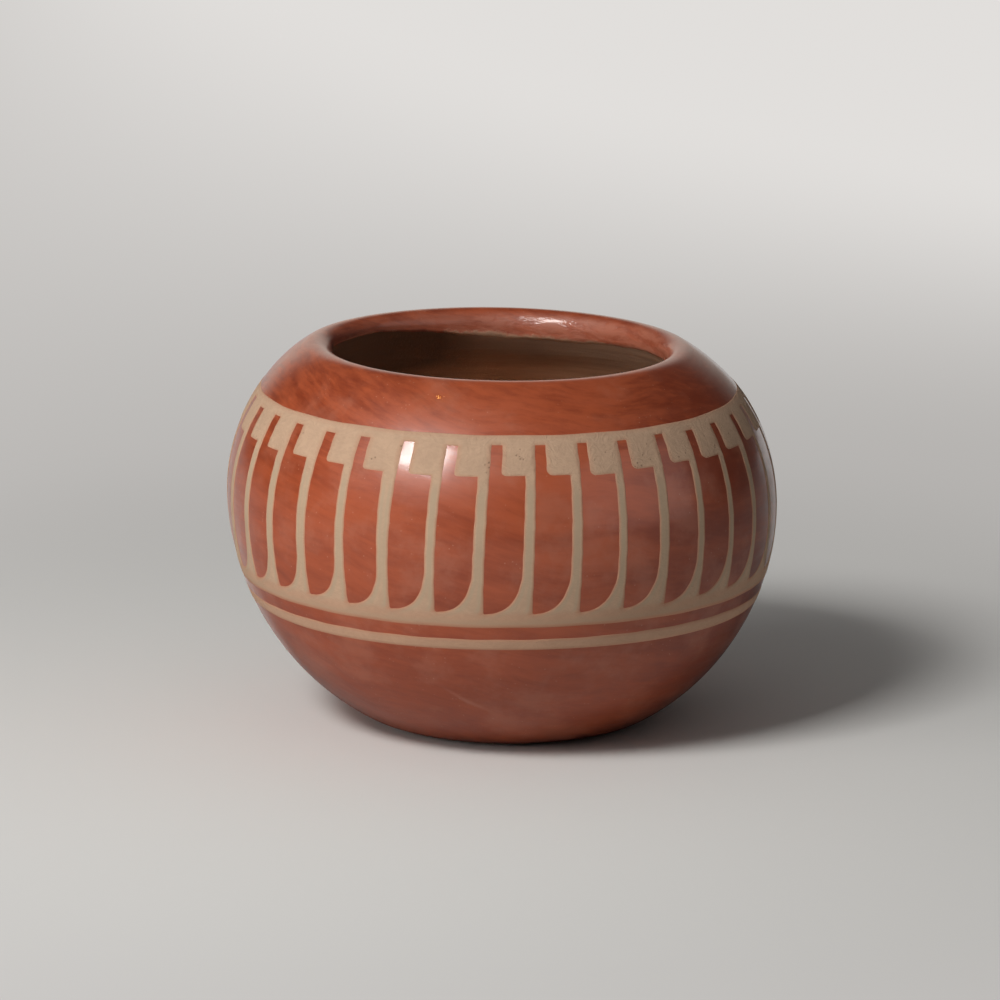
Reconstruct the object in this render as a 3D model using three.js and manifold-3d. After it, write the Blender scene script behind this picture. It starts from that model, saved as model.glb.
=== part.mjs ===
// Coil-built redware pot: a round, hand-built jar with a polished red slip and a buff feather band.
// Millimetres, +Z up. The pot stands on z = 0, its belly is centred on the Z axis, and -Y is the front.

import {
  BufferAttribute,
  BufferGeometry,
  ExtrudeGeometry,
  Group,
  LatheGeometry,
  MathUtils,
  Matrix4,
  Mesh,
  MeshStandardMaterial,
  Shape,
  Vector2,
} from 'three';
import { mergeVertices } from 'three/addons/utils/BufferGeometryUtils.js';
import Module from 'manifold-3d';

// Outside of the finished pot
const height = 105.4;
const bellyRadius = 76.2;
const bellyHeight = 62.6;
const footRadius = 31.8;
const footRounding = 20;
const shoulderReach = 45;
const lipRadius = 50.5;
const lipOuterRounding = 5.85;
const lipInnerRounding = 2.9;
const lipSlope = MathUtils.degToRad(58.6);
const lipUndercut = MathUtils.degToRad(235);
// The mouth's centre lies this far along X from the foot's, because the pot leans a little.
const mouthShift = -3.2;

// Clay wall: a moulded base, rope coils on top of it and a last coil that makes the lip
const wallThickness = 5.5;
const coilCount = 4;
const baseTop = MathUtils.degToRad(-36);
const rimBottom = MathUtils.degToRad(36);
const innerLipMeet = MathUtils.degToRad(46);
const jointLap = 5;

// Red slip: starts just above the bare foot, covers the outside and turns in over the lip
const slipThickness = 0.3;
const slipStartHeight = 0.3;
const slipInsideDepth = 7.4;

// Buff paint: a tall band with feathers left bare in it, and a plain stripe below it
const paintThickness = 0.25;
const paintClearance = 0.05;
const bandAboveBelly = 31;
const bandBelowBelly = 20.4;
const stripeGap = 3.4;
const stripeWidth = 3.4;

// Feathers, with their widths measured round the belly and their lengths upwards
const featherCount = 36;
const firstFeather = MathUtils.degToRad(-4.2);
const upperBorder = 2.6;
const lowerBorder = 4.4;
const ribWidth = 2.8;
const quillWidth = 3.4;
const quillLength = 7.6;
const bladeTipRise = 12;
const bladeSlant = 2.6;
const blockRounding = 1.5;

// Facets, and how far a cut face may move when its flat pieces are merged
const facetsAround = 48;
const facetsPerCoil = 2;
const flatness = 0.002;

// Heights of the paint's edges
const bandTop = bellyHeight + bandAboveBelly;
const bandBottom = bellyHeight - bandBelowBelly;
const stripeTop = bandBottom - stripeGap;
const stripeBottom = stripeTop - stripeWidth;
const quillTop = bandTop - upperBorder;
const bladeTop = quillTop - quillLength;
const bladeBottom = bandBottom + lowerBorder;

// Arcs that make up the outside, each with its centre, its reach along the radius and its rise
const footArc = {
  center: new Vector2(footRadius, footRounding),
  reach: footRounding,
  rise: footRounding,
};
const bowlRadius = tangentBowlRadius();
const bowlArc = {
  center: new Vector2(bellyRadius - bowlRadius, bellyHeight),
  reach: bowlRadius,
  rise: bowlRadius,
};
const outerLipArc = {
  center: new Vector2(lipRadius, height - lipOuterRounding),
  reach: lipOuterRounding,
  rise: lipOuterRounding,
};
const innerLipArc = {
  center: new Vector2(lipRadius, height - lipInnerRounding),
  reach: lipInnerRounding,
  rise: lipInnerRounding,
};
const shoulderEnd = stationOn(outerLipArc, lipSlope).point;
const shoulderArc = {
  center: new Vector2(bellyRadius - shoulderReach, bellyHeight),
  reach: shoulderReach,
  rise: shoulderRiseThrough(shoulderEnd),
};
const footJoin = bowlArc.center.clone().negate().add(footArc.center).angle() - 2 * Math.PI;

// Radius of the bowl's arc, which is upright at the belly and runs smoothly into the foot's rounding.
function tangentBowlRadius() {
  const out = bellyRadius - footRadius;
  const up = bellyHeight - footRounding;
  return (out * out + up * up - footRounding * footRounding) / (2 * (out - footRounding));
}

// Rise of the ellipse above the belly that passes through the point where the lip begins.
function shoulderRiseThrough(point) {
  const across = (point.x - (bellyRadius - shoulderReach)) / shoulderReach;
  return (point.y - bellyHeight) / Math.sqrt(1 - across * across);
}

// A station is a point of the profile, as radius and height, with the direction that leads out of the clay.
function stationOn(arc, angle) {
  const across = Math.cos(angle);
  const along = Math.sin(angle);
  return {
    point: new Vector2(arc.center.x + arc.reach * across, arc.center.y + arc.rise * along),
    normal: new Vector2(across / arc.reach, along / arc.rise).normalize(),
  };
}

function stationsAlong(arc, from, to, facets) {
  const stations = [];
  for (let i = 0; i <= facets; i += 1) {
    stations.push(stationOn(arc, MathUtils.lerp(from, to, i / facets)));
  }
  return stations;
}

// The wall's angle is 0 at the belly, negative on the bowl below it and positive on the shoulder above.
function wallStation(angle) {
  return stationOn(angle < 0 ? bowlArc : shoulderArc, angle);
}

function angleAt(level) {
  const arc = level < bellyHeight ? bowlArc : shoulderArc;
  return Math.asin((level - bellyHeight) / arc.rise);
}

function wallStations(from, to, facets) {
  const stations = [];
  for (let i = 0; i <= facets; i += 1) {
    stations.push(wallStation(MathUtils.lerp(from, to, i / facets)));
  }
  return stations;
}

// Points of a list of stations, moved away from the clay by a distance, or into it by a negative one.
function offset(stations, distance) {
  return stations.map(({ point, normal }) => point.clone().addScaledVector(normal, distance));
}

// Where the slip stops on the inside, on the straight stretch between the rolled lip and the wall below it.
function slipEdgeStation() {
  const above = stationOn(innerLipArc, lipUndercut).point;
  const below = offset([wallStation(innerLipMeet)], -wallThickness)[0];
  const share = (height - slipInsideDepth - above.y) / (below.y - above.y);
  const down = below.clone().sub(above).normalize();
  return { point: above.clone().lerp(below, share), normal: new Vector2(down.y, -down.x) };
}

// Outside of the pot where each clay piece shows, from the bare foot's edge to the slip's edge in the mouth
const jointAngles = [];
for (let i = 0; i <= coilCount; i += 1) {
  jointAngles.push(MathUtils.lerp(baseTop, rimBottom, i / coilCount));
}
const slipStart = Math.asin(slipStartHeight / footRounding - 1);
const shoulderEndAngle = angleAt(shoulderEnd.y);
const baseStations = [
  stationOn(footArc, slipStart),
  ...wallStations(footJoin, baseTop, 3),
];
const coilStations = jointAngles.slice(1).map((top, i) => wallStations(jointAngles[i], top, facetsPerCoil));
const rimStations = [
  ...wallStations(rimBottom, shoulderEndAngle, 3),
  ...stationsAlong(outerLipArc, lipSlope, Math.PI / 2, 2).slice(1),
  ...stationsAlong(innerLipArc, Math.PI / 2, lipUndercut, 4).slice(1),
  slipEdgeStation(),
];
const outsideStations = [
  ...baseStations,
  ...coilStations.flatMap((stations) => stations.slice(1)),
  ...rimStations.slice(1),
];

// The inner edge of each joint lies lower than its outer edge, so the coils overlap like shingles.
function innerJointAngle(angle) {
  return angleAt(wallStation(angle).point.y - jointLap);
}

function innerWall(from, to, facets) {
  return offset(wallStations(from, to, facets), -wallThickness);
}

// Turns a closed outline round the Z axis.
function bodyOfRevolution(outline) {
  const closed = [...outline, outline[0].clone()];
  return new LatheGeometry(closed, facetsAround).rotateX(Math.PI / 2);
}

function baseOutline() {
  const innerTop = innerJointAngle(baseTop);
  return [
    new Vector2(0, 0),
    new Vector2(footRadius, 0),
    baseStations[0].point.clone(),
    ...offset(baseStations, -slipThickness),
    ...innerWall(innerTop, footJoin, 2),
    new Vector2(footRadius, wallThickness),
    new Vector2(0, wallThickness),
  ];
}

function coilOutline(index) {
  const innerBottom = innerJointAngle(jointAngles[index]);
  const innerTop = innerJointAngle(jointAngles[index + 1]);
  return [
    ...offset(coilStations[index], -slipThickness),
    ...innerWall(innerTop, innerBottom, facetsPerCoil),
  ];
}

function rimOutline() {
  return [
    ...offset(rimStations, -slipThickness),
    ...innerWall(innerLipMeet, innerJointAngle(rimBottom), 1),
  ];
}

function slipOutline() {
  return [
    ...offset(outsideStations, 0),
    ...offset(outsideStations, -slipThickness).reverse(),
  ];
}

// A ring of paint between two heights that follows the facets of the slip beneath it.
function paintOutline(bottom, top) {
  const inner = [];
  for (let i = 1; i < outsideStations.length; i += 1) {
    const below = outsideStations[i - 1];
    const above = outsideStations[i];
    if (above.point.y <= below.point.y || above.point.y <= bottom || below.point.y >= top) continue;
    if (inner.length === 0) inner.push(stationBetween(below, above, bottom));
    inner.push(above.point.y < top ? above : stationBetween(below, above, top));
  }
  return [
    ...offset(inner, paintClearance + paintThickness),
    ...offset(inner, paintClearance).reverse(),
  ];
}

function stationBetween(below, above, level) {
  const share = (level - below.point.y) / (above.point.y - below.point.y);
  return {
    point: below.point.clone().lerp(above.point, share),
    normal: below.normal.clone().lerp(above.normal, share).normalize(),
  };
}

// Widths are given round the belly and shrink with the pot's own radius at each height.
function acrossAt(level, width) {
  return (width * wallStation(angleAt(level)).point.x) / bellyRadius;
}

// Outline of one feather: a narrow quill on the left of a long blade whose tip is rounded on the right.
function featherShape() {
  const bladeWidth = (2 * Math.PI * bellyRadius) / featherCount - ribWidth;
  const quillRight = bladeSlant + quillWidth;
  const tipWidth = acrossAt(bladeBottom + bladeTipRise, bladeWidth);
  const quillRightLow = acrossAt(bladeTop, quillRight);
  const shape = new Shape();
  shape.moveTo(0, bladeBottom);
  shape.absellipse(0, bladeBottom + bladeTipRise, tipWidth, bladeTipRise, -Math.PI / 2, 0);
  shape.lineTo(acrossAt(bladeTop, bladeWidth + bladeSlant), bladeTop);
  shape.lineTo(quillRightLow + blockRounding, bladeTop);
  shape.quadraticCurveTo(quillRightLow, bladeTop, quillRightLow, bladeTop + blockRounding);
  shape.lineTo(acrossAt(quillTop, quillRight), quillTop);
  shape.lineTo(acrossAt(quillTop, bladeSlant), quillTop);
  shape.lineTo(acrossAt(bladeTop, bladeSlant), bladeTop);
  return shape;
}

// A prism with the feather's outline, standing in front of the axis and reaching out past the belly
function featherCutter(angle) {
  const start = lipRadius;
  const depth = bellyRadius + wallThickness - start;
  const geometry = new ExtrudeGeometry(featherShape(), { depth, bevelEnabled: false, curveSegments: 2 });
  geometry.translate(0, 0, start);
  return geometry.rotateX(Math.PI / 2).rotateZ(angle);
}

const wasm = await Module();
wasm.setup();

function solidFrom(geometry) {
  const bare = geometry.clone();
  bare.deleteAttribute('normal');
  bare.deleteAttribute('uv');
  const merged = mergeVertices(bare);
  const mesh = new wasm.Mesh({
    numProp: 3,
    vertProperties: new Float32Array(merged.attributes.position.array),
    triVerts: new Uint32Array(merged.index.array),
  });
  return new wasm.Manifold(mesh);
}

function geometryFrom(solid) {
  const mesh = solid.getMesh();
  const geometry = new BufferGeometry();
  geometry.setAttribute('position', new BufferAttribute(mesh.vertProperties, 3));
  geometry.setIndex(new BufferAttribute(mesh.triVerts, 1));
  geometry.computeVertexNormals();
  return geometry;
}

// The buff band is one ring of paint with every feather cut out of it.
function featherBand() {
  let band = solidFrom(bodyOfRevolution(paintOutline(bandBottom, bandTop)));
  for (let i = 0; i < featherCount; i += 1) {
    const angle = firstFeather + (i * 2 * Math.PI) / featherCount;
    band = band.subtract(solidFrom(featherCutter(angle)));
  }
  return geometryFrom(band.asOriginal().simplify(flatness));
}

const clayMaterial = new MeshStandardMaterial({ color: 0x7a4a34, roughness: 0.85, metalness: 0 });
const slipMaterial = new MeshStandardMaterial({ color: 0xa04a31, roughness: 0.25, metalness: 0 });
const paintMaterial = new MeshStandardMaterial({ color: 0xc3a583, roughness: 0.9, metalness: 0 });

// Every piece leans with the pot: it shifts along X in step with its height above or below the belly.
const lean = mouthShift / height;
const leanMatrix = new Matrix4()
  .makeShear(0, 0, 0, 0, lean, 0)
  .multiply(new Matrix4().makeTranslation(0, 0, -bellyHeight))
  .premultiply(new Matrix4().makeTranslation(0, 0, bellyHeight));

const pot = new Group();

function addPiece(name, geometry, material) {
  const mesh = new Mesh(geometry.applyMatrix4(leanMatrix), material);
  mesh.name = name;
  pot.add(mesh);
}

addPiece('clay_base', bodyOfRevolution(baseOutline()), clayMaterial);
for (let i = 0; i < coilCount; i += 1) {
  addPiece(`wall_coil_${i + 1}`, bodyOfRevolution(coilOutline(i)), clayMaterial);
}
addPiece('rim_coil', bodyOfRevolution(rimOutline()), clayMaterial);
addPiece('red_slip', bodyOfRevolution(slipOutline()), slipMaterial);
addPiece('buff_stripe', bodyOfRevolution(paintOutline(stripeBottom, stripeTop)), paintMaterial);
addPiece('buff_feather_band', featherBand(), paintMaterial);

export default pot;
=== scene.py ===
"""Finished pieces of a coil-built redware jar, worked out with numpy on the packed frame.

The jar is a round, hand-built pot: clay coils under a polished red slip, with matte buff painting.
Everything is in metres and in the frame's own axes: +Z is up and -Y is the front.
"""

import math

import bpy
import numpy as np
from bpy.props import FloatProperty, FloatVectorProperty, IntProperty, PointerProperty
from mathutils import Matrix, Vector


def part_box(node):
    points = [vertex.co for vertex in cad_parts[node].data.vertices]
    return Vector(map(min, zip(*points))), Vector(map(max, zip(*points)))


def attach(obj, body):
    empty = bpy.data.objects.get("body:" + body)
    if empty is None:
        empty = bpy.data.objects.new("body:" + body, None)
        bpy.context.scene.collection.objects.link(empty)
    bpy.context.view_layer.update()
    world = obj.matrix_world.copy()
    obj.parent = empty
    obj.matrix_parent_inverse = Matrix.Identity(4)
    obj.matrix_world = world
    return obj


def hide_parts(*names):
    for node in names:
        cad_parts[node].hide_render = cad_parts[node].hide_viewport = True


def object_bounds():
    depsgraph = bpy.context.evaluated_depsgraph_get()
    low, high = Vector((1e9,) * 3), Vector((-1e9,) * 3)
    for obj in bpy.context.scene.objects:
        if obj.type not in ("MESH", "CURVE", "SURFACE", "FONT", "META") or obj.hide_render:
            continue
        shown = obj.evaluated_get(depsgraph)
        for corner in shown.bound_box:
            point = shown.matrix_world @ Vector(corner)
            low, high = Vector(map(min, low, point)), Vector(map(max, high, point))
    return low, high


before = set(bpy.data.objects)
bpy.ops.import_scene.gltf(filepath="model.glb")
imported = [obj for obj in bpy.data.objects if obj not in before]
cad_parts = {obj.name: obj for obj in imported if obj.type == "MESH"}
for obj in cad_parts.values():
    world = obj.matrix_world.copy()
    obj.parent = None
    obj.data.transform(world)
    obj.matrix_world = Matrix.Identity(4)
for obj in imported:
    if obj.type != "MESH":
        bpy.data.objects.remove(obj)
CAD_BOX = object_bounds()

bl_info = {
    "name": "Redware Jar",
    "version": (1, 0, 0),
    "blender": (4, 5, 0),
    "location": "3D Viewport > Sidebar > Redware Jar",
    "description": "Builds a polished, painted redware jar and its studio stage",
    "category": "Add Mesh",
}

ROUND = 2 * math.pi
SLIP_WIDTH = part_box("red_slip")[1].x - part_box("red_slip")[0].x


# Settings


def metres(name, description, default):
    """A setting in metres."""
    return FloatProperty(name=name, description=description, default=default, unit="LENGTH")


def degrees(name, description, default):
    """An angle, given in degrees here and kept in radians."""
    return FloatProperty(name=name, description=description, default=math.radians(default), subtype="ANGLE")


def plain(name, description, default):
    """A plain number."""
    return FloatProperty(name=name, description=description, default=default)


def watts(name, description, default):
    """A lamp's strength in watts."""
    return FloatProperty(name=name, description=description, default=default, unit="POWER")


def tint(name, description, default):
    """A colour in linear red, green and blue."""
    return FloatVectorProperty(name=name, description=description, default=default, subtype="COLOR")


class JarShape(bpy.types.PropertyGroup):
    """Outside of the jar, its wall and the small unevenness of hand work."""

    height: metres("Height", "From the table to the top of the lip", CAD_BOX[1].z)
    belly_radius: metres("Belly Radius", "Radius where the jar is widest", SLIP_WIDTH / 2)
    belly_height: metres("Belly Height", "Height of the widest place", 0.0626)
    foot_radius: metres("Foot Radius", "Radius of the flat that it stands on", 0.0318)
    foot_rounding: metres("Foot Rounding", "Radius between the foot and the bowl", 0.020)
    shoulder_reach: metres("Shoulder Reach", "Half width of the shoulder's ellipse", 0.045)
    lip_radius: metres("Lip Radius", "Radius of the circle where the lip is highest", 0.0505)
    lip_outer_rounding: metres("Lip Outer Rounding", "Roll of the lip on its outside", 0.00585)
    lip_inner_rounding: metres("Lip Inner Rounding", "Roll of the lip on its inside", 0.0043)
    lip_slope: degrees("Lip Slope", "Angle at which the shoulder runs into the lip", 58.6)
    lip_depth: metres("Lip Depth", "How deep the lip's inside runs before it turns under", 0.0053)
    lip_edge: metres("Lip Edge", "Rounding where the lip's inside turns under", 0.0018)
    lip_heavier: metres("Lip Heavier", "How much further in the lip comes on its left", 0.0006)
    lip_thinner: plain("Lip Thinner", "Share that the lip's inner roll lacks at the back left", 0.30)
    lip_fuller: plain("Lip Fuller", "Share that the lip's inner roll is deeper at the back", 0.30)
    inner_slope: degrees("Inner Slope", "Slope at which the wall runs out under the lip", 46)
    wall: metres("Wall", "Thickness of the clay wall", 0.0055)
    mouth_shift: metres("Mouth Shift", "How far the leaning mouth lies along X", -0.0032)
    lip_tilt: degrees("Lip Tilt", "How far the lip dips on its right", 0.6)
    unevenness: metres("Unevenness", "How far the hand-built wall strays from round", 0.0003)


class SlipCoat(bpy.types.PropertyGroup):
    """Red slip over the outside of the jar."""

    thickness: metres("Thickness", "Thickness of the coat", 0.0003)
    start_height: metres("Start Height", "Height above the table where it starts", 0.0003)
    inside_depth: metres("Inside Depth", "How far it runs down inside the mouth", 0.0090)
    deeper: metres("Deeper", "How much further down it runs on the right", 0.0008)
    ragged: metres("Ragged Edge", "How uneven its edge inside the mouth is", 0.0011)


class BuffPaint(bpy.types.PropertyGroup):
    """Buff painting: a tall band with feathers left bare in it, and a plain stripe below."""

    thickness: metres("Thickness", "How proud the paint stands", 0.00009)
    above_belly: metres("Above Belly", "Band's top edge above the belly", 0.0310)
    below_belly: metres("Below Belly", "Band's bottom edge below the belly", 0.0204)
    stripe_gap: metres("Stripe Gap", "Red left between the band and the stripe", 0.0034)
    stripe_width: metres("Stripe Width", "Height of the stripe", 0.0034)
    feather_count: IntProperty(name="Feathers", description="Feathers round the jar", default=36, min=3)
    first_feather: degrees("First Feather", "Where the front feather's blade starts", -4.0)
    upper_border: metres("Upper Border", "Paint above the quills", 0.0026)
    lower_border: metres("Lower Border", "Paint below the blades", 0.0044)
    blade_width: degrees("Blade Width", "Width of a blade round the jar", 7.65)
    quill_width: degrees("Quill Width", "Width of a quill round the jar", 2.3)
    quill_length: metres("Quill Length", "Height of a quill", 0.0076)
    tip_rise: metres("Tip Rise", "Height of the rounded tip of a blade", 0.0130)
    slant: degrees("Slant", "How far a blade leans on its way up", 1.95)
    corner: metres("Block Corner", "Usual rounding of a hanging block", 0.0011)
    waver: metres("Waver", "How far a brushed edge strays", 0.00005)
    seed: IntProperty(name="Seed", description="Chooses the hand's small differences", default=7)


class JarColours(bpy.types.PropertyGroup):
    """Colours of the fired surfaces."""

    slip_light: tint("Slip Light", "Orange red where the slip is thin", (0.43, 0.084, 0.0265))
    slip_dark: tint("Slip Dark", "Brown red where the slip is thick", (0.25, 0.0405, 0.0130))
    # Pale slip: rubbed patches and a scuff, and inside the mouth also a painted sheen
    slip_pale: tint("Slip Pale", "Pinkish red where the slip is rubbed", (0.45, 0.15, 0.088))
    slip_grain: tint("Slip Grain", "Pale grain in the slip", (0.60, 0.32, 0.21))
    slip_edge: tint("Slip Edge", "Clay that shows at the slip's crumbled edge", (0.38, 0.225, 0.135))
    buff: tint("Buff", "Buff paint where it is thick", (0.54, 0.36, 0.243))
    buff_thin: tint("Thin Buff", "Buff paint where the red shows through", (0.46, 0.20, 0.115))
    buff_rib: tint("Buff Rib", "Buff paint along a rib", (0.437, 0.328, 0.224))
    buff_pit: tint("Buff Pit", "Bottom of a pit in the hanging blocks", (0.23, 0.14, 0.085))
    clay: tint("Clay", "Unslipped clay inside the jar", (0.70, 0.43, 0.28))


class JarStage(bpy.types.PropertyGroup):
    """Floor, lamps and camera."""

    floor: tint("Floor", "Pale paper that the jar stands on", (0.80, 0.80, 0.79))
    key: watts("Key", "Strength of the large lamp on the left", 10.9)
    shine: watts("Shine", "Strength of the key's soft edge in the polish", 2.2)
    low: watts("Low", "Strength of the low lamp on the left", 4.6)
    fill: watts("Fill", "Strength of the soft lamp on the right", 1.9)
    warm: watts("Warm", "Strength of the small warm lamp overhead", 0.07)
    room: plain("Room", "Brightness of the room round the jar", 0.115)
    distance: metres("Distance", "From the camera to the jar", 2.0)
    pitch: degrees("Pitch", "How far the camera looks down", 12.87)
    roll: degrees("Roll", "Turn of the picture", 0.37)
    focal_length: plain("Focal Length", "Lens of the camera, in mm", 258.9)


# Shape of the jar


def arc(center, reach, rise, start, end, count):
    """Points and outward directions of an elliptical arc.

    The angle runs evenly; a point is the centre plus reach times its cosine and rise times its sine.
    """
    angle = np.linspace(start, end, count)
    across, along = np.cos(angle), np.sin(angle)
    points = np.stack([center[0] + reach * across, center[1] + rise * along], axis=1)
    normals = np.stack([across / reach, along / rise], axis=1)
    return points, normals / np.linalg.norm(normals, axis=1, keepdims=True)


# Where the lip's edge stops turning under, and the wall angle at which the wall's inside reaches the lip
UNDERCUT = math.radians(226)
LIP_MEET = math.radians(46)
# How softly the wall's inside turns into the slope under the lip
SLOPE_ROUNDING = 0.0015


class Section:
    """Half section of the jar: arcs that meet smoothly, in radius and height."""

    def __init__(self, shape):
        self.shape = shape
        out = shape.belly_radius - shape.foot_radius
        up = shape.belly_height - shape.foot_rounding
        self.bowl_radius = (out**2 + up**2 - shape.foot_rounding**2) / (2 * (out - shape.foot_rounding))
        self.bowl_center = (shape.belly_radius - self.bowl_radius, shape.belly_height)
        self.foot_center = (shape.foot_radius, shape.foot_rounding)
        bowl_x, bowl_z = self.bowl_center
        self.foot_join = math.atan2(shape.foot_rounding - bowl_z, shape.foot_radius - bowl_x)
        self.outer_lip_center = (shape.lip_radius, shape.height - shape.lip_outer_rounding)
        self.inner_lip_center = (shape.lip_radius, shape.height - shape.lip_inner_rounding)
        end_radius = self.outer_lip_center[0] + shape.lip_outer_rounding * math.cos(shape.lip_slope)
        end_height = self.outer_lip_center[1] + shape.lip_outer_rounding * math.sin(shape.lip_slope)
        self.shoulder_center = (shape.belly_radius - shape.shoulder_reach, shape.belly_height)
        across = (end_radius - self.shoulder_center[0]) / shape.shoulder_reach
        self.shoulder_rise = (end_height - shape.belly_height) / math.sqrt(1 - across**2)
        self.shoulder_end = math.acos(across)

    def wall(self, start, end, count):
        """The outside wall by its angle, and its outward directions.

        Below the belly it is the bowl's arc and above it the shoulder's ellipse. A point is the centre plus
        reach times the angle's cosine and rise times its sine.
        """
        angle = np.linspace(start, end, count)[:, None]
        bowl = angle < 0
        reach = np.where(bowl, self.bowl_radius, self.shape.shoulder_reach)
        rise = np.where(bowl, self.bowl_radius, self.shoulder_rise)
        center = np.where(bowl, [self.bowl_center], [self.shoulder_center])
        turn = np.concatenate([np.cos(angle), np.sin(angle)], axis=1)
        size = np.concatenate([reach, rise], axis=1)
        normals = turn / size
        return center + turn * size, normals / np.linalg.norm(normals, axis=1, keepdims=True)

    def inner_wall(self, start, end, count):
        """The inside of the clay: the outside wall moved in by the wall's thickness.

        Under the lip it is a straight slope instead. The two are joined by a rounded minimum: half their sum
        less half the length of their gap and the rounding taken at right angles, eased where they meet.
        """
        points, normals = self.wall(start, end, count)
        points = points - self.shape.wall * normals
        lip_end = self.lip()[0][-1]
        sloped = lip_end[0] + (lip_end[1] - points[:, 1]) / math.tan(self.shape.inner_slope)
        gap = points[:, 0] - sloped
        minimum = 0.5 * (points[:, 0] + sloped - np.hypot(gap, SLOPE_ROUNDING))
        eased = 0.5 * SLOPE_ROUNDING * np.exp(-((gap / SLOPE_ROUNDING) ** 2))
        points[:, 0] = np.minimum(minimum + eased, points[:, 0])
        return points

    def foot(self, start, count):
        """The foot's rounding as a circular arc up to where the bowl begins."""
        rounding = self.shape.foot_rounding
        return arc(self.foot_center, rounding, rounding, start, self.foot_join, count)

    def slip_start(self, coat):
        """Angle on the foot's rounding where the slip starts.

        Its sine is the starting height over the rounding, less 1.
        """
        return math.asin(coat.start_height / self.shape.foot_rounding - 1)

    def lip(self, rounded=10):
        """From the shoulder over the rolled lip to where its underside turns back to the wall."""
        outer, inner = self.shape.lip_outer_rounding, self.shape.lip_inner_rounding
        edge = self.shape.lip_edge
        first = arc(self.outer_lip_center, outer, outer, self.shape.lip_slope, math.pi / 2, rounded)
        second = arc(self.inner_lip_center, inner, inner, math.pi / 2, math.pi, 2 * rounded)
        edge_center = (self.shape.lip_radius - inner + edge, self.shape.height - self.shape.lip_depth)
        third = arc(edge_center, edge, edge, math.pi, UNDERCUT, rounded)
        return joined(first, second, apart(third))

    def angle_at(self, level):
        """Wall angle at a height: the arc sine of the height above the belly over the arc's rise."""
        rise = np.where(level < self.shape.belly_height, self.bowl_radius, self.shoulder_rise)
        return np.arcsin((level - self.shape.belly_height) / rise)

    def inner_angle(self, angle, lap):
        """Wall angle of a joint's inner edge, which lies lower than its outer edge by the lap."""
        level = self.wall(angle, angle, 1)[0][0, 1] - lap
        return float(self.angle_at(level))


def joined(*stretches):
    """Joins stretches of points and normals, leaving out each one's first point after the first stretch."""
    points = np.concatenate([stretches[0][0], *[s[0][1:] for s in stretches[1:]]])
    normals = np.concatenate([stretches[0][1], *[s[1][1:] for s in stretches[1:]]])
    return points, normals


def apart(stretch):
    """A stretch that doesn't start where the last one ends, with a first point for joined to leave out."""
    return tuple(np.vstack([[0, 0], column]) for column in stretch)


# Points of the meridian on the foot, on each half of the outside wall, on each roll of the lip and inside
FOOT_POINTS, HALF_WALL_POINTS, ROLL_POINTS, INSIDE_POINTS = 16, 80, 16, 20
# Share of the wall angle under the lip down to which the meridian runs inside
INSIDE_SHARE = 0.35


class Meridian:
    """The line that the slip's surface follows from the foot over the lip and inside, by its length.

    The length is the running sum of the distances between its points.
    """

    def __init__(self, section, coat):
        stretch = (LIP_MEET, INSIDE_SHARE * LIP_MEET, INSIDE_POINTS)
        inside = (section.inner_wall(*stretch), -section.wall(*stretch)[1])
        self.points, self.normals = joined(
            section.foot(section.slip_start(coat), FOOT_POINTS),
            section.wall(section.foot_join, 0, HALF_WALL_POINTS),
            section.wall(0, section.shoulder_end, HALF_WALL_POINTS),
            section.lip(ROLL_POINTS),
            apart(inside),
        )
        steps = np.linalg.norm(np.diff(self.points, axis=0), axis=1)
        self.length = np.concatenate([[0], np.cumsum(steps)])
        self.crest = self.length[np.argmax(self.points[:, 1])]

    def at(self, length):
        """Radius, height and outward direction at each length, read straight between the line's points."""
        return [np.interp(length, self.length, column) for column in [*self.points.T, *self.normals.T]]

    def at_height(self, level):
        """Length at which the outside reaches a height."""
        outside = self.length <= self.crest
        return np.interp(level, self.points[outside, 1], self.length[outside])


def smooth_step(value):
    """Runs from 0 to 1 as the value does, level at both ends: 3 times its square less 2 times its cube."""
    value = np.clip(value, 0, 1)
    return value * value * (3 - 2 * value)


def waves(angle, *terms):
    """Sum of sine waves round the jar: a term is a wave's height, how many go round and where it starts."""
    return sum(height * np.sin(count * angle + start) for height, count, start in terms)


def sector(angle, start, end):
    """1 in a part of the round, 0 outside it.

    It rises smoothly after its start and falls before its end, each a direction and a width in degrees.
    """
    turn = np.degrees(angle)
    return smooth_step((turn - start[0]) / start[1]) * smooth_step((end[0] - turn) / end[1])


# How far below the lip its inner roll stops changing, and over what height the change fades out there
ROLL_REACH = 0.018
ROLL_FADE = 0.0114
# Parts of the round where the inner roll is thinner and where it is fuller
THINNER_PART = ((195, 35), (270, 16))
FULLER_PART = ((120, 60), (206, 26))


def lip_roll(shape, radius, angle, level):
    """Moves the inside of the lip towards its crest at the back left, and down at the back.

    The share of the way runs smoothly round the jar and fades out down the wall and at the crest.
    """
    below = shape.height - level
    # The lip's circle bounds the inside at the crest; lower down, four fifths of the depth further out
    within = smooth_step((shape.lip_radius + 0.8 * below - radius) / (0.0005 + 0.3 * below))
    share = within * smooth_step((ROLL_REACH - below) / ROLL_FADE)
    thinner = shape.lip_thinner * share * sector(angle, *THINNER_PART)
    fuller = shape.lip_fuller * share * sector(angle, *FULLER_PART)
    return radius + thinner * (shape.lip_radius - radius), level + (thinner - fuller) * below


# Shares of the height at which the mouth's dip and the lip's heavier side start, and over which they come
DIP_FROM, DIP_OVER = 0.84, 0.14
HEAVY_FROM, HEAVY_OVER = 0.8, 0.1


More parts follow.
